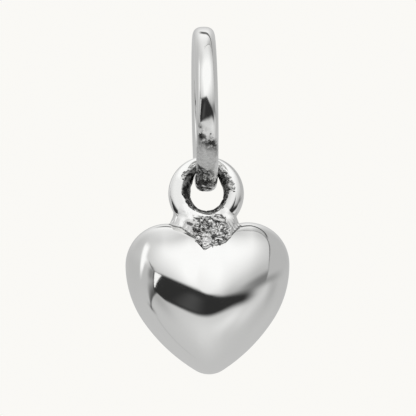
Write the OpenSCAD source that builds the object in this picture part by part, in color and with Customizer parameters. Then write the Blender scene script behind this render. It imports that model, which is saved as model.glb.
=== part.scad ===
// Puffed heart charm: a heart with a small soldered ring, hanging on a larger jump ring.
// The origin is where a chain bears, at the top of the hole in the jump ring.
// The heart faces -Y and hangs down along -Z.

/* [Jump ring] */
// Outer diameter of the jump ring that the charm hangs by
bail_d = 6; // [5.8:0.1:7.2]
// Diameter of its wire
bail_wire = 0.8; // [0.7:0.02:0.86]

/* [Fixed ring] */
// Outer diameter of the small ring that is soldered to the heart
ring_d = 2.74; // [2.68:0.02:2.86]
// Diameter of its wire
ring_wire = 0.7; // [0.66:0.01:0.74]
// Diameter that is left of the wire at the top, where the jump ring has worn it
ring_worn = 0.45; // [0.4:0.01:0.5]
// Gap left between the two rings where they bear on each other
link_gap = 0.04; // [0.03:0.01:0.06]

/* [Heart] */
// Width of the heart across both lobes
heart_w = 5.96; // [5.8:0.02:6.2]
// Height of the heart from the tops of the lobes to the tip
heart_h = 5.5; // [5.4:0.02:5.6]
// Thickness of the heart at its middle, from front to back
heart_t = 3.9; // [3.3:0.1:4.2]
// Radius of the outline round the top of each lobe
lobe_r = 1.52; // [1.48:0.01:1.56]
// Radius of the outline down the upper part of each flank
flank_r = 3.64; // [3.5:0.02:3.8]
// Angle through which the upper flank turns, from the widest point on
flank_turn = 34; // [32:1:36]
// Angle through which the outline has turned where the arc round the tip begins
tip_turn = 58; // [56:1:60]
// Radius of the cleft between the lobes
cleft_r = 0.44; // [0.38:0.01:0.5]
// Depth of the ridge, the thickest line of the heart, at its middle below the lobes' centres
ridge_drop = 1.46; // [1.36:0.02:1.56]
// Slope at which the ridge rises towards the sides
ridge_slope = 0.6; // [0.5:0.02:0.7]
// Length over which the ridge rounds off at its middle
ridge_bend = 0.5; // [0.3:0.05:0.7]

/* [Solder] */
// Depth to which the fixed ring is set into the cleft, below the tops of the lobes
ring_seat = 0.31; // [0.25:0.01:0.35]
// Radius of the solder drops where they leave the ring
drop_r = 0.27; // [0.22:0.01:0.3]
// Radius of the solder drops where they end on the heart
drop_end_r = 0.13; // [0.08:0.01:0.16]

/* [Hidden] */

metal = [0.8, 0.8, 0.81];

// Centre heights of the two rings and of the lobes
bail_z = bail_wire - bail_d / 2;
bail_floor_z = 2 * bail_z;
ring_z = bail_floor_z + link_gap + ring_worn - ring_d / 2;
lobe_z = ring_z - ring_d / 2 + ring_seat - lobe_r;

// Outline of the heart, with heights measured from the centres of the lobes. Each flank is an
// arc that runs on into a wider one, the run, and then into the arc round the tip
half_w = heart_w / 2;
lobe_x = half_w - lobe_r;
cleft_z = sqrt(pow(lobe_r + cleft_r, 2) - pow(lobe_x, 2));
cleft_x = lobe_x * cleft_r / (lobe_r + cleft_r);
tip_z = lobe_r - heart_h;
tip_rise = (1 - sin(tip_turn)) / cos(tip_turn);
flank_x = half_w - flank_r;
flank_end_x = flank_x + flank_r * cos(flank_turn);
flank_end_z = -flank_r * sin(flank_turn);
run_r = (flank_end_z - tip_rise * flank_end_x - tip_z) /
    (sin(tip_turn) - sin(flank_turn) - tip_rise * (cos(flank_turn) - cos(tip_turn)));
run_x = flank_end_x - run_r * cos(flank_turn);
run_z = flank_end_z + run_r * sin(flank_turn);
run_end_x = run_x + run_r * cos(tip_turn);
tip_r = run_end_x / cos(tip_turn);

// Height of a circle's edge at a distance from its centre
function arc(r, d) = sqrt(max(0, r * r - d * d));

// Upper and lower edge of the outline at a distance from the middle
function top_edge(u) = u < cleft_x ? cleft_z - arc(cleft_r, u) : arc(lobe_r, u - lobe_x);
function bottom_edge(u) =
    u < run_end_x ? tip_z + tip_r - arc(tip_r, u) :
    u < flank_end_x ? run_z - arc(run_r, u - run_x) :
    -arc(flank_r, u - flank_x);

// Each upright slice of the heart is an ellipse with these three sizes, whose thickest point is
// then moved up or down onto the ridge
function slice_z(x) = (top_edge(abs(x)) + bottom_edge(abs(x))) / 2;
function slice_h(x) = (top_edge(abs(x)) - bottom_edge(abs(x))) / 2;
function slice_t(x) = heart_t / 2 * arc(1, x / half_w);
function ridge_z(x) = ridge_slope * (sqrt(x * x + ridge_bend * ridge_bend) - ridge_bend) - ridge_drop;
function shift(x) = (ridge_z(x) - slice_z(x)) * (1 - pow(x / half_w, 4));

// A point of the slice's edge, at a turn of 0 for the thickest point and 90 for the top
function slice_point(x, turn) =
    [x, slice_t(x) * cos(turn), slice_z(x) + slice_h(x) * sin(turn) + shift(x) * pow(cos(turn), 2)];

// Distance of the heart's face from its middle plane. The rise is the sine of the turn at which
// the slice's edge has the height asked for
function rise(h, c, z) = 2 * (z - c) / (h + sqrt(h * h - 4 * c * (z - c)));
function face(x, z) = slice_t(x) * arc(1, rise(slice_h(x), shift(x), z - slice_z(x)));

// Slices across the heart and points round each slice
slices = 48;
slice_points = 40;

// Half the angle over which the ring is worn, and the wire's diameter at an angle from the top
// of the ring
worn_turn = 64;
function wire_at(turn) =
    ring_wire - (ring_wire - ring_worn) * pow(cos(90 * min(1, abs(turn) / worn_turn)), 2);

// A point of the fixed ring, at a turn from the top of the ring and a roll round its wire
function ring_point(turn, roll) =
    let (r = wire_at(turn) / 2, out = ring_d / 2 - r + r * cos(roll))
    [out * sin(turn), -r * sin(roll), out * cos(turn)];

// Faces of a grid of points. Each row closes on itself, and with closed the last row is joined
// to the first
function grid_faces(rows, columns, closed) = [
    for (i = [0 : rows - (closed ? 1 : 2)], j = [0 : columns - 1])
        let (a = i * columns, b = (i + 1) % rows * columns, k = (j + 1) % columns)
        [a + j, b + j, b + k, a + k]
];

// Solder drops, front and back alike, from left to right. A row is the place round the fixed
// ring in degrees from straight down, then where the drop ends on the heart, across from its
// middle and down from the tops of its lobes
drops = [
    [-49, -1.38, 0.05],
    [-33, -0.90, 0.30],
    [-18, -0.51, 0.63],
    [-4, -0.13, 0.91],
    [14, 0.41, 0.74],
    [31, 0.77, 0.47],
    [46, 1.13, 0.16]
];
// Size of the balls that the solder between two drops is spanned over, as a share of the drops'
web_share = 0.7;
// Places in a row of the table of drops
TURN = 0;
ACROSS = 1;
DOWN = 2;

// Corners round each circle, those of a ring as round the ring and round its wire
bail_fn = [96, 48];
ring_fn = [64, 22];
ring_ball_fn = 16;
face_ball_fn = 12;

module bail_ring() {
    color(metal)
        translate([0, 0, bail_z])
            rotate([0, 90, 0])
                rotate_extrude($fn = bail_fn[0])
                    translate([(bail_d - bail_wire) / 2, 0])
                        circle(d = bail_wire, $fn = bail_fn[1]);
}

module fixed_ring() {
    rounds = [for (i = [0 : ring_fn[0] - 1], j = [0 : ring_fn[1] - 1])
        ring_point(360 * i / ring_fn[0] - 180, 360 * j / ring_fn[1])];
    polyhedron(points = rounds, faces = grid_faces(ring_fn[0], ring_fn[1], true));
}

module puffed_heart() {
    xs = [for (i = [1 : slices - 1]) half_w * sin(180 * i / slices - 90)];
    rounds = [for (x = xs, j = [0 : slice_points - 1]) slice_point(x, 360 * j / slice_points)];
    left_end = len(rounds);
    right_end = left_end + 1;
    last = left_end - slice_points;
    left_cap = [for (j = [0 : slice_points - 1]) [left_end, j, (j + 1) % slice_points]];
    right_cap = [for (j = [0 : slice_points - 1])
        [right_end, last + (j + 1) % slice_points, last + j]];
    polyhedron(
        points = concat(rounds, [[-half_w, 0, 0], [half_w, 0, 0]]),
        faces = concat(grid_faces(slices - 1, slice_points, false), left_cap, right_cap)
    );
}

// Ball of solder on the fixed ring's wire
module ring_ball(row, r) {
    wire_r = (ring_d - ring_wire) / 2;
    translate([wire_r * sin(row[TURN]), 0, ring_z - wire_r * cos(row[TURN])])
        sphere(r = r, $fn = ring_ball_fn);
}

// Ball of solder on the heart's front or back face
module face_ball(row, side, r) {
    x = row[ACROSS];
    z = lobe_r - row[DOWN];
    translate([x, side * face(x, z), lobe_z + z])
        sphere(r = r, $fn = face_ball_fn);
}

module solder() {
    for (row = drops, side = [-1, 1])
        hull() {
            ring_ball(row, drop_r);
            face_ball(row, side, drop_end_r);
        }
    for (i = [0 : len(drops) - 2])
        hull()
            for (row = [drops[i], drops[i + 1]]) {
                ring_ball(row, web_share * drop_r);
                for (side = [-1, 1])
                    face_ball(row, side, web_share * drop_end_r);
            }
}

module heart() {
    color(metal) {
        translate([0, 0, lobe_z])
            puffed_heart();
        translate([0, 0, ring_z])
            fixed_ring();
        solder();
    }
}

bail_ring();
heart();
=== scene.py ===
"""Looks of the heart charm: mirror-polished white metal with rough solder at its two rings."""

import math

import bpy
import numpy as np
from mathutils import Matrix, Vector


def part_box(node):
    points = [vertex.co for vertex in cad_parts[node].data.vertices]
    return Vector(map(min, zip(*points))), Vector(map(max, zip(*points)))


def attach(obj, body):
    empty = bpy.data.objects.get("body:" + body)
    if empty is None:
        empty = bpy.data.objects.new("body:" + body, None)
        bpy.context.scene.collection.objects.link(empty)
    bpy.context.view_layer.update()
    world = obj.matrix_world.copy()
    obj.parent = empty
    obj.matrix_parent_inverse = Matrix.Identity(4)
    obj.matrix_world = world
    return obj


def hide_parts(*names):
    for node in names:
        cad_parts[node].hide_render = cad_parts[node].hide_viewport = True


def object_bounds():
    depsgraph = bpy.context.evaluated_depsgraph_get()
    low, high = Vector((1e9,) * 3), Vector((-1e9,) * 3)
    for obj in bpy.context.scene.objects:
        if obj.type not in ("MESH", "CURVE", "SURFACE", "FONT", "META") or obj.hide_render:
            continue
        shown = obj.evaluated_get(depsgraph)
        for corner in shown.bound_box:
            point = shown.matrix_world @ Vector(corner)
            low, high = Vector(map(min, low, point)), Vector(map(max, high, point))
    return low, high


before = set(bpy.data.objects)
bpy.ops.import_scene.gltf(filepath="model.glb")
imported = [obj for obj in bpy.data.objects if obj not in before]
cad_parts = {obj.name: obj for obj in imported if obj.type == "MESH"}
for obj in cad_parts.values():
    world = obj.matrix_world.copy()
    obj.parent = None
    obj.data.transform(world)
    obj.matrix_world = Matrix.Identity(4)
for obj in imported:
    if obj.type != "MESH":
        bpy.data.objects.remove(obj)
cad_low, cad_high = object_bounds()

# Meshes are worked out in millimetres and brought to metres at the end
MM = 0.001

# Sizes read from the frame
bail_low, bail_high = (np.array(corner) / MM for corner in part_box("bail_ring"))
heart_low, heart_high = (np.array(corner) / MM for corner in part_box("heart"))
BAIL_D = bail_high[2] - bail_low[2]
BAIL_WIRE = bail_high[0] - bail_low[0]
BAIL_Z = (bail_high[2] + bail_low[2]) / 2
HEART_W = heart_high[0] - heart_low[0]
HEART_T = heart_high[1] - heart_low[1]

# Sizes that the boxes don't show, as in the part's source
RING_D = 2.74
RING_WIRE = 0.7
RING_WORN = 0.45
WORN_TURN = math.radians(64)
HEART_H = 5.5
LOBE_R = 1.52
FLANK_R = 3.64
FLANK_TURN = math.radians(34)
TIP_TURN = math.radians(58)
CLEFT_R = 0.44
RIDGE_DROP = 1.46
RIDGE_SLOPE = 0.6
RIDGE_BEND = 0.5
RING_Z = heart_high[2] - RING_D / 2
LOBE_Z = heart_low[2] + HEART_H - LOBE_R
# Radius of the curve to which metal fills the cleft between the lobes, behind the solder
FILLED_R = 1.4
# Near the cleft the heart's upright slices are fuller than ellipses above one share of their half
# height, and round off above another
FULL_FROM, SHOULDER = 0.2, 0.88
# Thickness of a full slice where its fullness starts, as a share of that at its middle, and the
# slope and bend at which it falls from there up
FULL_FACE = (0.98, 0.204, 0.175)
# Distances from the heart's middle within which the slices are fullest and beyond which they are
# ellipses, and the distance over which both sides round into each other
FULL_WITHIN, FULL_OUT, FULL_BEND = 0.2, 1.6, 0.2

# Outline of the heart, with heights measured from the centres of the lobes. Each flank is an arc
# that runs on into a wider one and then into the arc round the tip
HALF_W = HEART_W / 2
LOBE_X = HALF_W - LOBE_R
TIP_Z = LOBE_R - HEART_H
TIP_RISE = (1 - math.sin(TIP_TURN)) / math.cos(TIP_TURN)
FLANK_X = HALF_W - FLANK_R
FLANK_END_X = FLANK_X + FLANK_R * math.cos(FLANK_TURN)
FLANK_END_Z = -FLANK_R * math.sin(FLANK_TURN)
RUN_DROP = math.sin(TIP_TURN) - math.sin(FLANK_TURN)
RUN_NARROWING = math.cos(FLANK_TURN) - math.cos(TIP_TURN)
RUN_R = (FLANK_END_Z - TIP_RISE * FLANK_END_X - TIP_Z) / (RUN_DROP - TIP_RISE * RUN_NARROWING)
RUN_X = FLANK_END_X - RUN_R * math.cos(FLANK_TURN)
RUN_Z = FLANK_END_Z + RUN_R * math.sin(FLANK_TURN)
RUN_END_X = RUN_X + RUN_R * math.cos(TIP_TURN)
TIP_R = RUN_END_X / math.cos(TIP_TURN)

RING_R = (RING_D - RING_WIRE) / 2
# How far the small ring's face leans back from upright, and how far it is turned to the left
RING_LEAN = math.radians(9)
RING_TURN = math.radians(-6)

# How square the small ring's wire is worn on its right and on its left, and the jump ring's wire.
# A round wire has 2
RIGHT_SQUARE, LEFT_SQUARE = 3.0, 5.6
BAIL_SQUARE = 2.7
# How far the small ring is worn clear of the jump ring
CLEARANCE = 0.015
# Sizes of the flat faces of broken metal on the small ring, the solder and the jump ring
RING_SHARD, SOLDER_SHARD, BAIL_SHARD = 0.16, 0.19, 0.2

# Crumbs of metal on the small ring: degrees from its right side, and how strong they are there
RING_CRUMBS = ((0, 8, 20, 66, 80, 110, 118, 138, 150), (0, 0.6, 1, 1, 0.5, 0.5, 1, 1, 0))
# Heights at which the grey patch of the jump ring's joint comes in and runs out again
GREY_TOP, GREY_BOTTOM = (-3.25, -3.7), (-4.75, -4.55)

# Corners of the box in which the solder is worked out, and the size of the cells there
SOLDER_LOW, SOLDER_HIGH = (-1.8, -1.7, -7.5), (1.6, 1.7, -5.6)
CELL = 0.02
# A distance beyond all others in that box
FAR = 9.0
# How far the solder between the small ring and the heart spreads. Columns: across from the
# heart's middle, width of the fillet there
SPREAD = (
    (-1.7, 0.3),
    (-1.25, 0.48),
    (-0.9, 0.3),
    (-0.5, 0.2),
    (0.1, 0.26),
    (0.7, 0.2),
    (1.1, 0.3),
    (1.4, 0.2),
)
# Strands of solder from the small ring down to the heart, from left to right. Columns: place round
# the ring in degrees from straight down, end on the heart across from its middle and down from the
# tops of its lobes, radius at the ring, radius at the end
STRANDS = (
    (-52, -1.30, 0.03, 0.34, 0.05),
    (-36, -0.92, 0.14, 0.36, 0.07),
    (-16, -0.42, 0.50, 0.27, 0.07),
    (-3, -0.13, 0.86, 0.27, 0.05),
    (8, 0.20, 0.62, 0.28, 0.08),
    (22, 0.55, 0.62, 0.27, 0.07),
    (32, 0.82, 0.38, 0.25, 0.05),
    (46, 1.14, 0.12, 0.31, 0.05),
)
# Drops that stand out of the solder, front and back alike. Columns: across, down, how far the
# drop stands out, radius
DROPS = (
    (-0.06, 0.50, -0.14, 0.21),
    (-0.09, 0.62, -0.11, 0.17),
    (-0.12, 0.74, -0.08, 0.12),
    (-0.14, 0.84, -0.05, 0.08),
    (-0.14, 0.93, -0.02, 0.04),
    (-0.42, 0.43, 0.02, 0.11),
    (-0.41, 0.60, 0.00, 0.08),
    (0.29, 0.70, 0.01, 0.10),
    (0.43, 0.69, 0.00, 0.08),
    (0.62, 0.58, 0.01, 0.09),
    (0.76, 0.45, 0.02, 0.10),
    (0.80, 0.26, 0.01, 0.10),
    (0.20, 0.28, 0.04, 0.10),
    (-0.35, 0.02, 0.03, 0.10),
    (-0.12, 0.06, 0.03, 0.09),
    (-0.30, 0.22, 0.02, 0.09),
)
# Small drops strewn over the middle of the solder: how many, where their middle lies across and
# down, and how far out they reach
STREWN = 16
STREWN_AT, STREWN_REACH = (0.12, 0.22), (0.62, 0.42)
# Where the rough middle of the solder lies, across and down, and how far out it reaches
ROUGH_AT, ROUGH_REACH = (0.1, 0.25), (0.68, 0.66)
# How smooth the tongue of solder is that runs down onto the heart's face
TONGUE_SMOOTH = 0.8
# How near the strands and the small ring's wire the metal behind them is kept
KEPT_BY_STRANDS, KEPT_BY_RING = 0.25, 0.5

# How steeply the broken faces and pits of the solder run down to the right
GRAIN_DIP = math.radians(40)
# Pits in the solder, darkened with painted shade. Columns: across, down, radius
PITS = (
    (-0.65, 0.00, 0.08),
    (-0.46, 0.19, 0.07),
    (-0.38, 0.64, 0.06),
    (-0.48, 0.49, 0.06),
    (0.13, 0.13, 0.05),
    (0.54, 0.30, 0.07),
    (0.34, 0.68, 0.08),
    (0.67, 0.35, 0.06),
    (0.64, 0.60, 0.06),
    (-0.09, -0.09, 0.06),
    (0.27, -0.05, 0.06),
    (-0.43, -0.20, 0.06),
    (0.53, -0.25, 0.06),
)

# The photograph's frame: its size in pixels, the millimetres to a pixel at the charm,
# where the origin falls, and how far the charm is turned and rolled there
PHOTO_SIZE = 416
PIXEL = 0.03636
ORIGIN_PX = (203.7, 48.7)
CAMERA_TURN = math.radians(-1.9)
CAMERA_ROLL = math.radians(1.0)
CAMERA_DISTANCE = 180.0


def arc(r, d):
    """Height of a circle's edge at a distance from its centre."""
    return np.sqrt(np.maximum(0, r * r - d * d))


def top_edge(u, cleft_r=CLEFT_R):
    cleft_x = LOBE_X * cleft_r / (LOBE_R + cleft_r)
    cleft_z = math.sqrt((LOBE_R + cleft_r) ** 2 - LOBE_X ** 2)
    return np.where(u < cleft_x, cleft_z - arc(cleft_r, u), arc(LOBE_R, u - LOBE_X))


def bottom_edge(u):
    tip = TIP_Z + TIP_R - arc(TIP_R, u)
    run = RUN_Z - arc(RUN_R, u - RUN_X)
    flank = -arc(FLANK_R, u - FLANK_X)
    return np.where(u < RUN_END_X, tip, np.where(u < FLANK_END_X, run, flank))


def slice_sizes(x):
    """Middle height, half height and half thickness of the heart's upright slice at x."""
    u = np.abs(x)
    top, bottom = top_edge(u), bottom_edge(u)
    return (top + bottom) / 2, (top - bottom) / 2, HEART_T / 2 * arc(1, x / HALF_W)


def ridge_shift(x):
    """How far the thickest point of each slice is moved from its middle, to round off the ridge."""
    ridge = RIDGE_SLOPE * (np.sqrt(x * x + RIDGE_BEND ** 2) - RIDGE_BEND) - RIDGE_DROP
    return (ridge - slice_sizes(x)[0]) * (1 - (x / HALF_W) ** 4)


def slice_height(x, rise):
    """Height on a slice's edge, where rise is the sine of the turn round it."""
    middle, half = slice_sizes(x)[:2]
    filling = top_edge(np.abs(x), FILLED_R) - top_edge(np.abs(x))
    past = np.maximum(rise - FULL_FROM, 0) / (1 - FULL_FROM)
    return middle + half * rise + ridge_shift(x) * (1 - rise * rise) + filling * past * past


def slice_rise(x, height):
    """The rise at which a slice's edge has a height, beyond 1 above the slice."""
    middle, half = slice_sizes(x)[:2]
    step, least_slope = 0.001, 0.3
    rise = (height - middle) / half
    for _ in range(6):
        slope = (slice_height(x, rise + step) - slice_height(x, rise - step)) / (2 * step)
        rise = rise - (slice_height(x, rise) - height) / np.maximum(slope, least_slope)
    return rise


def fullness(x, rise):
    """How much thicker than an ellipse a slice is above its middle, so that the cleft stays short."""
    held = np.clip(rise, 0, 0.999)
    past = np.maximum(held - FULL_FROM, 0)
    thick, slope, bend = FULL_FACE
    level = np.where(past > 0, thick - slope * past - bend * past ** 2, arc(1, held))
    corner = arc(1, np.maximum(held - SHOULDER, 0) / (1 - SHOULDER))
    share = smooth_step(FULL_OUT, FULL_WITHIN, np.sqrt(x * x + FULL_BEND ** 2))
    return 1 + share * (level * corner / arc(1, held) - 1)


def smooth_step(low, high, value):
    t = np.clip((np.asarray(value, float) - low) / (high - low), 0, 1)
    return t * t * (3 - 2 * t)


class Grain:
    """Seeded smooth noise of -1 to 1 in space, the same for any order of the points."""

    def __init__(self, seed, period=32):
        self.table = np.random.default_rng(seed).uniform(-1, 1, (period, period, period))
        self.period = period

    def at(self, points, size):
        """Noise with features of about the given size."""
        place = np.asarray(points) / size
        cell = np.floor(place).astype(int)
        t = place - cell
        t = t * t * (3 - 2 * t)
        total = 0
        for corner in np.ndindex(2, 2, 2):
            weight = np.prod([t[..., i] if corner[i] else 1 - t[..., i] for i in range(3)], axis=0)
            i, j, k = ((cell[..., axis] + corner[axis]) % self.period for axis in range(3))
            total = total + weight * self.table[i, j, k]
        return total

    def layered(self, points, size, layers=3):
        """Several sizes of noise on top of each other, each half as big as the one before."""
        return sum(self.at(points, size / 2 ** i) / 2 ** i for i in range(layers))


GRAIN = Grain(11)


def object_from(name, points, faces):
    """A smooth-shaded object from points in millimetres."""
    mesh = bpy.data.meshes.new(name)
    mesh.from_pydata(np.asarray(points).tolist(), [], faces)
    mesh.validate()
    mesh.transform(Matrix.Scale(MM, 4))
    mesh.shade_smooth()
    obj = bpy.data.objects.new(name, mesh)
    bpy.context.scene.collection.objects.link(obj)
    return obj


def grid_faces(rows, columns, wrap_rows):
    """Quads of a grid whose columns close on themselves, and whose rows may."""
    faces = []
    for i in range(rows if wrap_rows else rows - 1):
        for j in range(columns):
            a, b = i * columns + j, i * columns + (j + 1) % columns
            step = ((i + 1) % rows) * columns - i * columns
            faces.append((a, a + step, b + step, b))
    return faces


def mask_attribute(obj, name, values):
    """Stores one number a vertex, which the materials read."""
    attribute = obj.data.attributes.new(name, "FLOAT", "POINT")
    attribute.data.foreach_set("value", np.asarray(values, np.float32))


def torus_grid(outer_r, wire_r, square, around, across):
    """Angles round a ring and round its wire, the points of the ring, whose axis is +Z, and the way
    out of the wire there.

    wire_r is the wire's radius at each angle round the ring, or everywhere. The wire's section is
    round where square is 2 and has flatter sides where it is more. It may depend on the angle too."""
    turn = np.repeat(np.arange(around) * 2 * math.pi / around, across)
    roll = np.tile(np.arange(across) * 2 * math.pi / across, around)
    wire_r = wire_r(turn) if callable(wire_r) else wire_r
    square = square(turn) if callable(square) else square
    out = np.stack([np.cos(roll) * np.cos(turn), np.cos(roll) * np.sin(turn), np.sin(roll)], 1)
    reach = outer_r - wire_r
    core = np.stack([reach * np.cos(turn), reach * np.sin(turn), 0 * turn], 1)
    far = wire_r * (np.abs(np.cos(roll)) ** square + np.abs(np.sin(roll)) ** square) ** (-1 / square)
    return turn, roll, core + far[:, None] * out, out


def make_heart_body():
    """The puffed heart, as upright slices across its width."""
    columns, around = 260, 220
    x = HALF_W * np.sin(np.linspace(-math.pi / 2, math.pi / 2, columns)[1:-1])
    across = np.repeat(x[:, None], around, 1)
    turn = np.arange(around) * 2 * math.pi / around
    rise = np.sin(turn)
    thick = slice_sizes(across)[2] * np.cos(turn) * fullness(across, rise)
    grid = np.stack([across, thick, slice_height(across, rise) + LOBE_Z], 2).reshape(-1, 3)
    ends = np.array([[-HALF_W, 0, LOBE_Z], [HALF_W, 0, LOBE_Z]])
    rows = columns - 2
    faces = grid_faces(rows, around, False)
    left, right, last = rows * around, rows * around + 1, (rows - 1) * around
    for j in range(around):
        k = (j + 1) % around
        faces.append((left, j, k))
        faces.append((right, last + k, last + j))
    return object_from("heart_body", np.concatenate([grid, ends]), faces)


def ring_wire_r(turn):
    """Radius of the small ring's wire, which the jump ring has worn thin at the top."""
    from_top = np.abs((turn - math.pi / 2 + math.pi) % (2 * math.pi) - math.pi)
    worn = np.cos(math.pi / 2 * np.minimum(1, from_top / WORN_TURN)) ** 2
    return (RING_WIRE - (RING_WIRE - RING_WORN) * worn) / 2


def ring_square(turn):
    """How square the small ring's wire is at an angle round the ring."""
    left = smooth_step(0.3, -0.5, np.cos(turn))
    return RIGHT_SQUARE + (LEFT_SQUARE - RIGHT_SQUARE) * left


def ring_place(across, back, up):
    """Where a place on the small ring goes when the ring is leant and turned."""
    leant_back = back * math.cos(RING_LEAN) + up * math.sin(RING_LEAN)
    leant_up = up * math.cos(RING_LEAN) - back * math.sin(RING_LEAN)
    turned_across = across * math.cos(RING_TURN) - leant_back * math.sin(RING_TURN)
    turned_back = across * math.sin(RING_TURN) + leant_back * math.cos(RING_TURN)
    return np.stack([turned_across, turned_back, leant_up + RING_Z], -1)


def worn_clear(points):
    """Points of the small ring, moved out to clear the jump ring's wire however the heart swings."""
    core = (BAIL_D - BAIL_WIRE) / 2
    axis_z = BAIL_Z - core
    corner = BAIL_WIRE / 2 * 2 ** (1 / 2 - 1 / BAIL_SQUARE)
    x, y, up = points[:, 0], points[:, 1], points[:, 2] - axis_z
    push = np.maximum(1, (corner + core - arc(core, y) + CLEARANCE) / np.hypot(x, up))
    return np.stack([x * push, y, up * push + axis_z], 1)


def make_fixed_ring():
    """The small ring, smooth on its faces and rough inside its hole, with painted shade inside the hole
    and in its cracks.
    """
    around, across = 400, 128
    turn, roll, points, out = torus_grid(RING_D / 2, ring_wire_r, ring_square, around, across)
    up, left, inward = np.sin(turn), -np.cos(turn), -np.cos(roll)
    edge = GRAIN.layered(points, 0.2) * 0.07
    pits = GRAIN.layered(points, 0.11, 4)
    # The rough inside spreads onto the faces towards the top
    inside = inward - (0.43 - 0.26 * up) - edge
    inner = smooth_step(0.0, 0.12, inside)
    # Crumbs of metal stand on the faces
    crumbs = np.interp(np.degrees(turn), *RING_CRUMBS)
    crumbs = crumbs * smooth_step(0.34, 0.14, np.abs(inward - 0.14 - edge))
    slant, cracks = shards(points, RING_SHARD)
    # At the top, where the jump ring bears, the metal is worn and keeps to its size
    unworn = smooth_step(0.97, 0.8, up)
    lump = smooth_step(0.2, 0.9, left) * smooth_step(0.5, 0.2, up)
    bulk = inner * unworn * (0.03 + 0.05 * lump + 0.04 * np.minimum(pits, 0.15))
    dent = bulk + crumbs * (0.9 * slant + 0.02 - 0.03 * cracks)
    dented = points + out * dent[:, None]
    placed = worn_clear(ring_place(dented[:, 0], -dented[:, 2], dented[:, 1]))
    obj = object_from("fixed_ring", placed, grid_faces(around, across, True))
    mask_attribute(obj, "raw", np.maximum(inner, 0.35 * crumbs))
    # Painted shade: the inside of the hole, where the metal is raw, and the cracks between the crumbs
    # are darkened, and a painted dark line runs along the hole's edge
    painted_shade_inside = inner * (0.6 + 0.4 * smooth_step(0.2, -0.4, pits)) + 0.9 * cracks * crumbs
    rim = np.exp(-((inside - 0.06) / 0.06) ** 2)
    mask_attribute(obj, "depth", np.clip(np.maximum(painted_shade_inside, 0.85 * rim), 0, 1))
    return obj


def blend(a, b, width):
    """Union of two distance fields with a rounded join of about the given width."""
    near = np.maximum(width - np.abs(a - b), 0) / width
    return np.minimum(a, b) - near * near * width / 4


def heart_distance(x, y, z):
    """About the distance to the heart's surface, for a grid that is even in x, y and z."""
    across = x[:, :1, :]
    rise = slice_rise(across, z[:, :1, :] - LOBE_Z)
    thick = slice_sizes(across)[2] * fullness(across, rise)
    level = np.sqrt((y / thick) ** 2 + rise ** 2) - 1
    slopes = np.gradient(level, CELL)
    return level / np.sqrt(sum(slope ** 2 for slope in slopes))


def ring_distance(x, y, z):
    """Distance to the small ring's surface, for the part below its worn top."""
    across = x * math.cos(RING_TURN) + y * math.sin(RING_TURN)
    turned = y * math.cos(RING_TURN) - x * math.sin(RING_TURN)
    up = (z - RING_Z) * math.cos(RING_LEAN) + turned * math.sin(RING_LEAN)
    back = turned * math.cos(RING_LEAN) - (z - RING_Z) * math.sin(RING_LEAN)
    far = np.hypot(across, up)
    square = ring_square(np.arccos(across / far))
    return (np.abs(far - RING_R) ** square + np.abs(back) ** square) ** (1 / square) - RING_WIRE / 2


def heart_point(across, down, side):
    """Point on the heart's front (-1) or back (1) face."""
    rise = slice_rise(across, LOBE_R - down)
    depth = slice_sizes(across)[2] * arc(1, rise) * fullness(across, rise)
    return np.array([across, side * float(depth), LOBE_Z + LOBE_R - down])


def capsule_distance(x, y, z, start, end, start_r, end_r):
    """Distance to a strand whose radius changes evenly from one end to the other."""
    axis = np.subtract(end, start)
    along = (x - start[0]) * axis[0] + (y - start[1]) * axis[1] + (z - start[2]) * axis[2]
    share = np.clip(along / (axis @ axis), 0, 1)
    gap = np.sqrt(sum((c - s - share * a) ** 2 for c, s, a in zip((x, y, z), start, axis)))
    return gap - start_r - share * (end_r - start_r)


def surface_of(field, low):
    """Quads round the part of a grid where the field is negative, with one point a cell."""
    field = field.copy()
    for axis in range(3):
        side = np.moveaxis(field, axis, 0)
        side[0] = side[-1] = CELL
    inside = field < 0
    size = np.array(field.shape) - 1
    total, count, quads = np.zeros((*size, 3)), np.zeros(size), []
    steps = np.eye(3, dtype=int)
    around = ((-1, -1), (0, -1), (0, 0), (-1, 0))
    for axis in range(3):
        b, c = (axis + 1) % 3, (axis + 2) % 3
        along = np.moveaxis(inside, axis, 0)
        at = np.argwhere(np.moveaxis(along[1:] != along[:-1], 0, axis))
        start, end = field[tuple(at.T)], field[tuple((at + steps[axis]).T)]
        cross = at + steps[axis] * (start / (start - end))[:, None]
        corners = [at + db * steps[b] + dc * steps[c] for db, dc in around]
        for corner in corners:
            np.add.at(total, tuple(corner.T), cross)
            np.add.at(count, tuple(corner.T), 1)
        ids = np.stack([np.ravel_multi_index(corner.T, size) for corner in corners], 1)
        quads.append(np.where((start < 0)[:, None], ids, ids[:, ::-1]))
    used = count.ravel() > 0
    points = total.reshape(-1, 3)[used] / count.ravel()[used][:, None] * CELL + low
    order = np.cumsum(used) - 1
    return points, order[np.concatenate(quads)].tolist()


def add_drop(field, low, across, down, side, raised, radius):
    """Adds a ball to the field, on the first surface met from the front (-1) or the back (1)."""
    height = LOBE_Z + LOBE_R - down
    i, k = int(round((across - low[0]) / CELL)), int(round((height - low[2]) / CELL))
    column = field[i, :, k] < 0
    if not column.any():
        return
    j = np.argmax(column) if side < 0 else len(column) - 1 - np.argmax(column[::-1])
    centre = np.array([across, low[1] + CELL * j + side * raised, height])
    reach, join = radius + 0.06, 0.02
    start = np.maximum(np.floor((centre - low - reach) / CELL).astype(int), 0)
    end = np.minimum(np.ceil((centre - low + reach) / CELL).astype(int) + 1, field.shape)
    part = tuple(slice(a, b) for a, b in zip(start, end))
    axes = [low[axis] + CELL * np.arange(start[axis], end[axis]) - centre[axis] for axis in range(3)]
    x, y, z = np.meshgrid(*axes, indexing="ij")
    field[part] = blend(field[part], np.sqrt(x * x + y * y + z * z) - radius, join)


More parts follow.
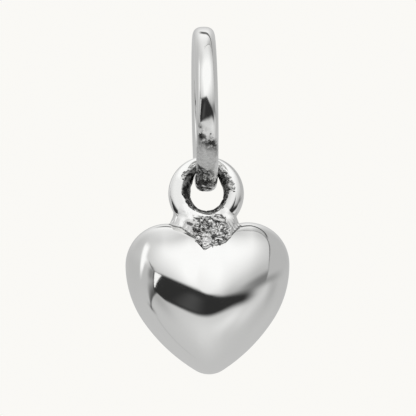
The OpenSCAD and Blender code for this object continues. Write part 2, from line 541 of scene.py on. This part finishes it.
def sample(field, low, points):
    """Values of a grid at points inside it."""
    place = (points - low) / CELL
    cell = np.clip(np.floor(place).astype(int), 0, np.array(field.shape) - 2)
    t, total = place - cell, 0
    for corner in np.ndindex(2, 2, 2):
        weight = np.prod([t[:, i] if corner[i] else 1 - t[:, i] for i in range(3)], axis=0)
        total = total + weight * field[tuple((cell + corner).T)]
    return total


def solder_middle(across, down):
    """1 in the middle of the solder, where it is rough, and 0 at its smooth sides."""
    right = (across - ROUGH_AT[0]) / ROUGH_REACH[0]
    return smooth_step(1.15, 0.8, np.hypot(right, (down - ROUGH_AT[1]) / ROUGH_REACH[1]))


def slantwise(across, up):
    """How far a place lies along the way down to the right, and over to the upper right of it."""
    dip_cos, dip_sin = math.cos(GRAIN_DIP), math.sin(GRAIN_DIP)
    return across * dip_cos - up * dip_sin, across * dip_sin + up * dip_cos


def shards(points, size):
    """Flat faces at random slants, as in broken metal: how far each stands out at the points, and
    1 along the cracks between them. The faces are longer down to the right than across that."""
    along, over = slantwise(points[:, 0], points[:, 2])
    place = np.stack([0.6 * along, points[:, 1], over], 1) / size
    place = place + 0.35 * GRAIN.at(points, 0.12)[:, None]
    cell = np.floor(place).astype(int)
    period = 16
    table = np.random.default_rng(21).uniform(0, 1, (period, period, period, 6))
    first, second, slant = np.full(len(place), FAR), np.full(len(place), FAR), np.zeros(len(place))
    for step in np.ndindex(3, 3, 3):
        at = cell + step - 1
        row = table[tuple((at % period).T)]
        away = place - at - row[:, :3]
        gap = np.sqrt((away ** 2).sum(1))
        nearer = gap < first
        second = np.where(nearer, first, np.minimum(second, gap))
        slant = np.where(nearer, (away * (row[:, 3:] - 0.5)).sum(1), slant)
        first = np.where(nearer, gap, first)
    cracked = smooth_step(-0.35, 0.1, GRAIN.at(points, 0.3))
    return slant * size, smooth_step(0.2, 0.03, second - first) * cracked


def solder_tongue(across, down):
    """1 on the tongue of solder that runs down onto the heart's face, which is smooth."""
    return smooth_step(0.2, 0.12, np.abs(across + 0.06)) * smooth_step(0.3, 0.42, down)


def solder_webs(x, y, z, body, ring):
    """The solder's field before it is roughened, and that of its strands alone."""
    fillet = blend(ring, body, np.interp(x, *np.transpose(SPREAD)))
    strands = np.full(x.shape, FAR)
    # Between each two strands of the table lie three more
    for row in np.arange(0, len(STRANDS) - 1 + 0.01, 1 / 4):
        turn, across, down, start_r, end_r = (
            np.interp(row, range(len(STRANDS)), column) for column in np.transpose(STRANDS)
        )
        angle = math.radians(turn)
        start = ring_place(RING_R * math.sin(angle), 0, -RING_R * math.cos(angle))
        for side in (-1, 1):
            end = heart_point(across, down, side)
            strand = capsule_distance(x, y, z, start, end, start_r, end_r)
            strands = blend(strands, strand, 0.06)
    return blend(fillet, strands, 0.1), strands


def break_solder(field, x, y, z, body, ring):
    """Breaks the solder's skin into slanting faces, apart from its sides and its tongue."""
    near = np.abs(field) < 0.12
    place = np.stack([x[near], y[near], z[near]], -1)
    across, down = place[:, 0], LOBE_Z + LOBE_R - place[:, 2]
    only = smooth_step(0.0, 0.04, np.minimum(ring[near], body[near]))
    broken = solder_middle(across, down) * (1 - TONGUE_SMOOTH * solder_tongue(across, down))
    slant, cracks = shards(place, SOLDER_SHARD)
    rough = broken * (cracks * 0.04 - 0.03 - slant)
    field[near] += only * (rough + GRAIN.layered(place, 0.09, 2) * 0.004)


def add_drops(field, low):
    """Adds the drops of the table, then the strewn ones, front and back in turn."""
    for across, down, raised, radius in DROPS:
        for side in (-1, 1):
            add_drop(field, low, across, down, side, raised, radius)
    chance = np.random.default_rng(5)
    for number in range(STREWN):
        angle, far = chance.uniform(0, 2 * math.pi), math.sqrt(chance.uniform(0, 1))
        across = STREWN_AT[0] + STREWN_REACH[0] * far * math.cos(angle)
        down = STREWN_AT[1] + STREWN_REACH[1] * far * math.sin(angle)
        radius = 0.04 + 0.04 * chance.uniform(0, 1) ** 2
        raised = radius * chance.uniform(-0.3, 0.4)
        add_drop(field, low, across, down, -1 if number % 2 else 1, raised, radius)


def solder_painted_shade(points, edge):
    """Painted shade on the solder: how dark it is painted at its edge on the heart, in its cracks and in
    its pits.
    """
    across, down = points[:, 0], LOBE_Z + LOBE_R - points[:, 2]
    cracks = 0.95 * solder_middle(across, down) * shards(points, SOLDER_SHARD)[1]
    dark = np.maximum(cracks, 0.85 * edge) * (1 - TONGUE_SMOOTH * solder_tongue(across, down))
    ragged = 0.9 * GRAIN.at(points, 0.09) + 0.4 * GRAIN.at(points, 0.04)
    for pit_across, pit_down, radius in PITS:
        along, over = slantwise(across - pit_across, pit_down - down)
        far = np.hypot(0.55 * along, 1.5 * over) / radius
        dark = np.maximum(dark, 0.9 * smooth_step(1.2, 0.6, far + ragged))
    return dark


def make_solder():
    """The solder that joins the small ring to the heart: smooth at the sides, crumbs in the middle."""
    low, high = np.array(SOLDER_LOW), np.array(SOLDER_HIGH)
    count = np.ceil((high - low) / CELL).astype(int)
    x, y, z = np.meshgrid(*(low[i] + CELL * np.arange(count[i]) for i in range(3)), indexing="ij")
    body, ring = heart_distance(x, y, z), ring_distance(x, y, z)
    field, strands = solder_webs(x, y, z, body, ring)
    break_solder(field, x, y, z, body, ring)
    add_drops(field, low)
    # Of the metal behind the solder, only what lies near it is kept
    field = np.maximum(field, np.minimum(strands - KEPT_BY_STRANDS, ring - KEPT_BY_RING))
    # The skin is set in a little, so that it lies below the heart and the ring beside the solder
    points, quads = surface_of(field + 0.006, low)
    obj = object_from("solder", points, quads)
    # Where the solder meets the heart, and in its cracks and pits, it is darkened with painted shade
    off_ring = smooth_step(0.0, 0.03, sample(ring, low, points))
    edge = smooth_step(0.03, 0.01, sample(body, low, points)) * off_ring
    middle = solder_middle(points[:, 0], LOBE_Z + LOBE_R - points[:, 2])
    mask_attribute(obj, "raw", 0.04 + 0.08 * middle)
    mask_attribute(obj, "depth", solder_painted_shade(points, edge))
    return obj


def make_bail_ring():
    """The jump ring, with the rough patch where it was soldered shut and painted shade in the cracks and
    pits of its crumbs.
    """
    around, across = 560, 88
    points, out = torus_grid(BAIL_D / 2, BAIL_WIRE / 2, BAIL_SQUARE, around, across)[2:]
    # The patch is on the near side of the ring, towards its bottom
    height, side = BAIL_Z + points[:, 1], points[:, 2]
    facing = smooth_step(-0.1, 0.2, 2 * points[:, 0] / BAIL_D)
    ragged = GRAIN.layered(points, 0.25) * 0.12
    # Grey metal lies between an upper and a lower lot of crumbs
    grey = smooth_step(*GREY_TOP, height + ragged) * smooth_step(*GREY_BOTTOM, height + ragged)
    grey = facing * grey * smooth_step(0.42, 0.2, side + ragged - 0.06 * (height + 4))
    upper = np.exp(-((height + 3.42 + 0.7 * side + ragged) / (0.3 - 0.2 * side)) ** 2)
    upper = facing * upper * smooth_step(0.42, 0.3, np.abs(side))
    lower = smooth_step(-4.38, -4.5, height + ragged + 0.25 * side)
    lower = facing * lower * smooth_step(0.34, 0.1, side)
    crumbs = np.clip(upper + lower, 0, 1)
    pits = GRAIN.layered(points, 0.13, 4)
    fine = GRAIN.layered(points, 0.05, 2)
    # The faces of broken metal start from another place than those of the small ring
    slant, cracks = shards(points + 5.0, BAIL_SHARD)
    dent = crumbs * (0.7 * slant - 0.03 - 0.03 * cracks)
    dent = dent + grey * (0.35 * pits - 0.3 + 0.15 * fine) * 0.02
    dented = points + out * dent[:, None]
    placed = np.stack([dented[:, 2], -dented[:, 0], dented[:, 1] + BAIL_Z], 1)
    obj = object_from("bail_ring_wire", placed, grid_faces(around, across, True))
    mask_attribute(obj, "raw", np.clip(0.55 * grey + 0.2 * crumbs, 0, 1))
    # Painted shade in the cracks and pits of the crumbs at the joint
    mask_attribute(obj, "depth", np.maximum(cracks, smooth_step(0.5, -0.2, pits)) * crumbs)
    return obj


class Tree:
    """Short ways to make and join nodes in a node tree."""

    def __init__(self, tree):
        self.tree = tree
        tree.nodes.clear()

    def add(self, kind, inputs=(), **settings):
        node = self.tree.nodes.new(kind)
        for key, value in settings.items():
            setattr(node, key, value)
        for key, value in dict(inputs).items():
            self.put(node.inputs[key], value)
        return node

    def put(self, socket, value):
        if isinstance(value, bpy.types.NodeSocket):
            self.tree.links.new(value, socket)
        elif isinstance(value, int):
            socket.default_value = float(value)
        else:
            socket.default_value = value

    def math(self, operation, a, b=0.0, clamp=False):
        node = self.add("ShaderNodeMath", operation=operation, use_clamp=clamp)
        self.put(node.inputs[0], a)
        self.put(node.inputs[1], b)
        return node.outputs[0]

    def plus(self, a, b):
        return self.math("ADD", a, b)

    def minus(self, a, b):
        return self.math("SUBTRACT", a, b)

    def times(self, a, b):
        return self.math("MULTIPLY", a, b)

    def over(self, a, b):
        return self.math("DIVIDE", a, b)

    def ramp(self, value, low, high, start=0.0, end=1.0, kind="SMOOTHSTEP"):
        """Goes from start at low to end at high, smoothly unless kind is LINEAR."""
        node = self.add("ShaderNodeMapRange", interpolation_type=kind, clamp=True)
        names = ("Value", "From Min", "From Max", "To Min", "To Max")
        for name, item in zip(names, (value, low, high, start, end)):
            self.put(node.inputs[name], item)
        return node.outputs[0]

    def rise(self, value, at, soft):
        """0 below a value and 1 above it, with a soft edge."""
        return self.ramp(value, at - soft / 2, at + soft / 2)

    def fall(self, value, at, soft):
        """1 below a value and 0 above it, with a soft edge."""
        return self.ramp(value, at - soft / 2, at + soft / 2, 1.0, 0.0)

    def mix(self, share, a, b):
        """a where share is 0 and b where it is 1."""
        return self.plus(self.times(a, self.minus(1.0, share)), self.times(b, share))

    def grey(self, tone, blue):
        """A grey whose blue is the given share of its red and green."""
        inputs = {"Red": tone, "Green": tone, "Blue": self.times(tone, blue)}
        return self.add("ShaderNodeCombineColor", inputs).outputs[0]

    def noise(self, place, scale, detail, rough=0.5):
        inputs = {"Vector": place, "Scale": scale, "Detail": detail, "Roughness": rough}
        return self.add("ShaderNodeTexNoise", inputs).outputs["Fac"]


def polished_metal():
    """White metal with a mirror polish, faint buffing marks, a raw, darker finish where the raw mask
    says, and painted shade where the depth mask says.
    """
    material = bpy.data.materials.new("polished_metal")
    material.use_nodes = True
    t = Tree(material.node_tree)
    place = t.add("ShaderNodeTexCoord").outputs["Object"]
    raw = t.add("ShaderNodeAttribute", attribute_name="raw").outputs["Fac"]
    depth = t.add("ShaderNodeAttribute", attribute_name="depth").outputs["Fac"]
    grain = t.noise(place, 9000.0, 4.0, 0.6)
    buff = t.noise(place, 700.0, 5.0, 0.6)
    rough = t.mix(raw, t.ramp(buff, 0.3, 0.7, 0.05, 0.085), t.ramp(grain, 0.3, 0.7, 0.3, 0.55))
    tone = t.mix(raw, t.ramp(buff, 0.2, 0.8, 0.88, 0.91), t.ramp(grain, 0.3, 0.7, 0.3, 0.75))
    # The depth mask darkens the metal: painted shade in the hollows, cracks and pits and along the
    # solder's edge
    tone = t.times(tone, t.minus(1.0, t.times(depth, 0.92)))
    bump = t.add("ShaderNodeBump", {
        "Height": grain,
        "Strength": t.mix(raw, 0.004, 0.5),
        "Distance": 0.00001,
    })
    shader = t.add("ShaderNodeBsdfPrincipled", {
        "Base Color": t.grey(tone, 0.985),
        "Metallic": 1.0,
        "Roughness": rough,
        "Normal": bump.outputs[0],
    })
    t.add("ShaderNodeOutputMaterial", {"Surface": shader.outputs[0]})
    return material


# What the polished metal mirrors is a plain light tent, given by direction. Azimuth is 0 towards the
# camera and 90 to the right, elevation is up, both in degrees.
# Soft lights and shades on the tent's sheets. Columns: azimuth, elevation, angle at which the light
# has fallen to about a third, brightness added
LIGHTS = (
    (3, 50, 33, 0.56),
    (0, 88, 25, 0.15),
    (180, 50, 24, 0.4),
    (-8, -38, 36, 0.12),
    (18, -31, 13, 0.09),
    (40, -22, 10, 0.15),
    (74, -13, 9, 0.11),
    (82, -7, 7, -0.07),
    (92, -15, 8, -0.06),
    (-71, 22, 5, 0.3),
    (-55.5, 15.5, 2.5, -0.3),
    (-94, -27, 3, -0.3),
    (-40, 30, 16, 0.06),
    (30, -25, 11, 0.1),
    (57, -22, 14, 0.06),
    (-15, -37, 22, 0.04),
    (95, -24, 14, -0.04),
    (-120, 36, 22, -0.06),
    (-5, 22, 11, 0.18),
    (-50, 70, 15, -0.18),
    (45, 2, 20, -0.09),
    (-65, -18, 11, -0.13),
    (15, 6, 11, -0.13),
    (100, 66, 15, -0.12),
    (60, -26, 11, 0.09),
)
# Brightness below, at the sides, and above in front of the seam and behind it, and the most there is
FLOOR_LEVEL, SIDE_LEVEL, FRONT_LEVEL, BACK_LEVEL = 0.575, 0.54, 0.61, 0.51
BRIGHTEST = 1.07
# Elevations between which the floor's brightness goes over into the sides', and that into the top's
FLOOR_TO_SIDE, SIDE_TO_TOP = (-35.0, 0.0), (6.0, 26.0)
# The seam on the right: azimuth low down, elevation above which it bends back, bend, brightness
SEAM_AZ, SEAM_EL, SEAM_BEND, SEAM_LEVEL = 68.3, 12, 0.0195, 0.12
# Elevations between which it comes in, others between which its half width grows, from and to
SEAM_SHOWS, SEAM_WIDENS = (-8.0, 36.0), (15.0, 45.0, 1.4, 3.6)
# What lies behind the seam comes in between the first elevations and runs out at the azimuths
BACK_SHOWS, BACK_ENDS = (-7.0, 3.0), (130.0, 175.0)
# The seam goes on over the top and behind as an arch. It is where a direction's upward part is the
# first value and the next two times its parts to the right and away, and this is its brightness
ARCH = (0.4275, 0.458, 0.4194)
ARCH_LEVEL = 0.1
# Its half width by the part to the right, and the parts away and to the right where it comes in
ARCH_NARROWS, ARCH_AWAY, ARCH_RIGHT = (-0.3, 0.5, 0.11, 0.04), (0.05, 0.25), (-0.25, 0.0)
# Crease at the lower left: elevation at azimuth 0, slope, azimuths of its ends, brightness
CREASE_EL, CREASE_SLOPE, CREASE_LOW, CREASE_HIGH, CREASE_LEVEL = 17.6, 0.47, -96, -62, 0.05
# Upright strips and patches, each laid over those before it. Columns: azimuth at elevation 0, its
# lean and its bend with elevation, lowest and highest elevation, softness of each of these ends,
# half width at each, softness of the sides as a share of that, brightness
PANELS = (
    (-85.3, 0.625, -0.0125, 2, 48, 20, 14, 2.8, 11.0, 1.2, 1.08),
    (-64.0, 0.5, 0, -1, 14, 10, 8, 5.0, 5.0, 1.8, 0.25),
    (-73.5, 0.75, 0, -58, -32, 8, 5, 2.5, 2.5, 1.2, 0.52),
    (-45.7, -0.72, 0, 13, 22, 3, 8, 1.6, 0.9, 1.0, 0.16),
)
# The dim end of the slot, in front of the seam
TAIL = (62, 0, 0, -6, 6, 9, 9, 34.0, 34.0, 1.8, 0.22)
# The slot that the camera looks through: brightness, azimuths at which it runs out on the right
SLOT_LEVEL = 0.03
SLOT_ENDS = (38.0, 66.0)
# Its top, as elevation at azimuth 0 and slope on the left and on the right, and how high the curve
# between these stands and over how many degrees it falls to a third
SLOT_LEFT, SLOT_RIGHT, SLOT_CURVE = (16.5, 0.09), (10.2, -0.33), (9.4, 4)
# Its bottom, from and to an azimuth and their elevations, and a hump in it: azimuth, width, height
SLOT_BOTTOM, SLOT_HUMP = (-68.0, -52.0, -11.5, -16.3), (25.0, 22.0, 4.6)
# Softness of the top and of the bottom edge, from and to an azimuth
SLOT_TOP_SOFT, SLOT_BOTTOM_SOFT = (0.0, 50.0, 4.0, 9.0), (-60.0, 20.0, 3.0, 8.5)
# On its left is a lit patch behind a thin dark edge, and inside it a faint sheen
SLOT_EDGE = (-59.9, 0.53, 0, -13, 12.5, 3, 1.5, 1.1, 1.1, 0.6, 0.05)
SLOT_PATCH = (-56.6, 0.8, 0, -7.6, 11.3, 1.5, 1.6, 0.5, 5.1, 0.3, 1.05)
SLOT_SHEEN = (-14.5, 0.85, 0, -13, 8, 6, 10, 12.0, 5.0, 1.9, 0.07)
BACKDROP = (0.955, 0.945, 0.915)


class Tent(Tree):
    """Brightness of the light tent by direction."""

    def __init__(self, tree):
        super().__init__(tree)
        self.direction = self.add("ShaderNodeTexCoord").outputs["Generated"]
        axes = self.add("ShaderNodeSeparateXYZ", {"Vector": self.direction})
        self.right, self.away, self.up = axes.outputs
        degrees = 180 / math.pi
        front = self.times(self.away, -1.0)
        self.az = self.times(self.math("ARCTAN2", self.right, front), degrees)
        self.el = self.times(self.math("ARCSINE", self.up), degrees)

    def lay(self, light, panel):
        """Lays a strip or patch over the light."""
        start_az, lean, bend, low, high, low_soft, high_soft, low_wide, high_wide, soft, level = panel
        curve = self.times(self.el, self.plus(self.times(self.el, bend), lean))
        off = self.math("ABSOLUTE", self.minus(self.az, self.plus(curve, start_az)))
        across = self.over(off, self.ramp(self.el, low, high, low_wide, high_wide, "LINEAR"))
        inside = self.times(self.fall(across, 1, soft), self.rise(self.el, low, low_soft))
        inside = self.times(inside, self.fall(self.el, high, high_soft))
        return self.mix(inside, light, level)

    def sheets(self):
        """The tent's plain sheets with the soft lights and shades on them."""
        below = self.ramp(self.el, *FLOOR_TO_SIDE, FLOOR_LEVEL, SIDE_LEVEL)
        light = self.mix(self.ramp(self.el, *SIDE_TO_TOP), below, FRONT_LEVEL)
        for light_az, light_el, angle, level in LIGHTS:
            a, e = math.radians(light_az), math.radians(light_el)
            axis = (math.sin(a) * math.cos(e), -math.cos(a) * math.cos(e), math.sin(e))
            inputs = {0: self.direction, 1: axis}
            along = self.add("ShaderNodeVectorMath", inputs, operation="DOT_PRODUCT").outputs["Value"]
            faded = self.times(self.minus(along, 1.0), 2 / math.radians(angle) ** 2)
            light = self.plus(light, self.times(self.math("EXPONENT", faded), level))
        return self.math("MINIMUM", light, BRIGHTEST)

    def seam(self, light):
        """The seam on the right, and the darker sheet behind it."""
        bent = self.math("MAXIMUM", self.minus(self.el, SEAM_EL), 0.0)
        bent = self.times(self.times(bent, bent), SEAM_BEND)
        behind = self.minus(self.minus(self.az, bent), SEAM_AZ)
        past = self.times(self.rise(behind, 0, 3), self.ramp(self.az, *BACK_ENDS, 1.0, 0.0))
        light = self.mix(self.times(past, self.ramp(self.el, *BACK_SHOWS)), light, BACK_LEVEL)
        width = self.ramp(self.el, *SEAM_WIDENS)
        line = self.ramp(self.math("ABSOLUTE", behind), 0.4, width, 1.0, 0.0)
        return self.mix(self.times(line, self.ramp(self.el, *SEAM_SHOWS)), light, SEAM_LEVEL)

    def arch(self, light):
        """The seam's way on over the top and behind."""
        height, slope_right, slope_away = ARCH
        plane = self.plus(self.times(self.right, slope_right), self.times(self.away, slope_away))
        off = self.math("ABSOLUTE", self.minus(self.minus(self.up, height), plane))
        off = self.over(off, self.ramp(self.right, *ARCH_NARROWS))
        line = self.times(self.ramp(off, 0.4, 1.2, 1.0, 0.0), self.ramp(self.away, *ARCH_AWAY))
        return self.mix(self.times(line, self.ramp(self.right, *ARCH_RIGHT)), light, ARCH_LEVEL)

    def crease(self, light):
        """A crease that is dark along its lower edge and fades upwards, wider on its right."""
        off = self.minus(self.minus(self.el, CREASE_EL), self.times(self.az, CREASE_SLOPE))
        wide = self.ramp(self.az, CREASE_LOW + 4, CREASE_HIGH - 5, 2.0, 16.0)
        dark = self.times(self.ramp(off, -1.0, 0.3), self.ramp(self.over(off, wide), 0.0, 1.0, 0.9, 0.0))
        ends = self.times(self.rise(self.az, CREASE_LOW, 5), self.fall(self.az, CREASE_HIGH, 5))
        return self.mix(self.times(dark, ends), light, CREASE_LEVEL)

    def slot(self, light):
        """The dark slot. Its top drops to the right in a curve, and its edges blur and run out there."""
        height, fall_angle = SLOT_CURVE
        curve = self.times(self.math("EXPONENT", self.times(self.az, -1 / fall_angle)), height)
        right = self.plus(self.plus(curve, SLOT_RIGHT[0]), self.times(self.az, SLOT_RIGHT[1]))
        left = self.plus(self.times(self.az, SLOT_LEFT[1]), SLOT_LEFT[0])
        above = self.minus(self.el, self.math("MINIMUM", right, left))
        inside = self.fall(self.over(above, self.ramp(self.az, *SLOT_TOP_SOFT)), 0, 1)
        hump_az, hump_wide, hump_height = SLOT_HUMP
        hump = self.over(self.minus(self.az, hump_az), hump_wide)
        hump = self.math("EXPONENT", self.times(self.times(hump, hump), -1.0))
        bottom = self.plus(self.times(hump, hump_height), self.ramp(self.az, *SLOT_BOTTOM))
        risen = self.over(self.minus(self.el, bottom), self.ramp(self.az, *SLOT_BOTTOM_SOFT))
        inside = self.times(inside, self.rise(risen, 0, 1))
        edge = self.plus(self.times(self.el, SLOT_EDGE[1]), SLOT_EDGE[0])
        inside = self.times(inside, self.rise(self.minus(self.az, edge), 0, 2))
        inside = self.times(inside, self.ramp(self.az, *SLOT_ENDS, 1.0, 0.0))
        return self.mix(inside, light, self.lay(SLOT_LEVEL, SLOT_SHEEN))


def studio_world():
    """A plain light tent, with the pale backdrop where the camera looks past the charm."""
    world = bpy.data.worlds.new("studio")
    world.use_nodes = True
    bpy.context.scene.world = world
    t = Tent(world.node_tree)
    light = t.arch(t.seam(t.lay(t.sheets(), TAIL)))
    for panel in PANELS:
        light = t.lay(light, panel)
    light = t.slot(t.crease(light))
    light = t.lay(t.lay(light, SLOT_EDGE), SLOT_PATCH)
    seen = t.add("ShaderNodeLightPath").outputs["Is Camera Ray"]
    tent = t.add("ShaderNodeBackground", {"Color": light})
    backdrop = t.add("ShaderNodeBackground", {"Color": (*BACKDROP, 1.0)})
    either = t.add("ShaderNodeMixShader", {0: seen, 1: tent.outputs[0], 2: backdrop.outputs[0]})
    t.add("ShaderNodeOutputWorld", {"Surface": either.outputs[0]})


def make_camera():
    """A long lens at the photograph's angle, aimed so that the charm falls where it does there."""
    across = (PHOTO_SIZE / 2 - ORIGIN_PX[0]) * PIXEL
    up = (ORIGIN_PX[1] - PHOTO_SIZE / 2) * PIXEL
    aim_x = across * math.cos(CAMERA_ROLL) + up * math.sin(CAMERA_ROLL)
    aim_z = up * math.cos(CAMERA_ROLL) - across * math.sin(CAMERA_ROLL)
    back = Vector((math.sin(CAMERA_TURN), -math.cos(CAMERA_TURN), 0))
    right = Vector((math.cos(CAMERA_TURN), math.sin(CAMERA_TURN), 0))
    data = bpy.data.cameras.new("camera")
    data.sensor_width = 36.0
    data.lens = data.sensor_width * CAMERA_DISTANCE / (PHOTO_SIZE * PIXEL)
    data.clip_start, data.clip_end = 0.01, 2.0
    camera = bpy.data.objects.new("camera", data)
    bpy.context.scene.collection.objects.link(camera)
    camera.location = (right * aim_x + Vector((0, 0, aim_z)) + back * CAMERA_DISTANCE) * MM
    facing = (-back).to_track_quat("-Z", "Y").to_matrix()
    camera.rotation_euler = (facing @ Matrix.Rotation(-CAMERA_ROLL, 3, "Z")).to_euler()
    bpy.context.scene.camera = camera


def make_floor():
    """A plain pale floor below the hanging charm."""
    radius, drop, corners = 0.3, 0.02, 96
    turn = np.arange(corners) * 2 * math.pi / corners
    height = cad_low[2] - drop
    points = [(radius * math.cos(a), radius * math.sin(a), height) for a in turn]
    mesh = bpy.data.meshes.new("floor")
    mesh.from_pydata(points, [], [list(range(corners))])
    floor = bpy.data.objects.new("floor", mesh)
    bpy.context.scene.collection.objects.link(floor)
    material = bpy.data.materials.new("floor_paper")
    material.use_nodes = True
    t = Tree(material.node_tree)
    place = t.add("ShaderNodeTexCoord").outputs["Object"]
    tone = t.ramp(t.noise(place, 900.0, 3.0), 0.2, 0.8, 0.9, 0.92)
    shader = t.add("ShaderNodeBsdfPrincipled", {
        "Base Color": t.grey(tone, 0.975),
        "Roughness": 0.9,
        "Emission Color": (1.0, 0.99, 0.96, 1.0),
        "Emission Strength": 0.3,
    })
    t.add("ShaderNodeOutputMaterial", {"Surface": shader.outputs[0]})
    mesh.materials.append(material)
    floor.visible_glossy = False


make_camera()
metal = polished_metal()
pieces = (
    (make_heart_body(), "pendant", "heart"),
    (make_fixed_ring(), "pendant", "heart"),
    (make_solder(), "pendant", "heart"),
    (make_bail_ring(), "bail", "bail_ring"),
)
for piece, body, node in pieces:
    piece.data.materials.append(metal)
    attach(piece, body)
    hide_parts(node)
studio_world()
make_floor()
bpy.context.scene.view_settings.view_transform = "Standard"
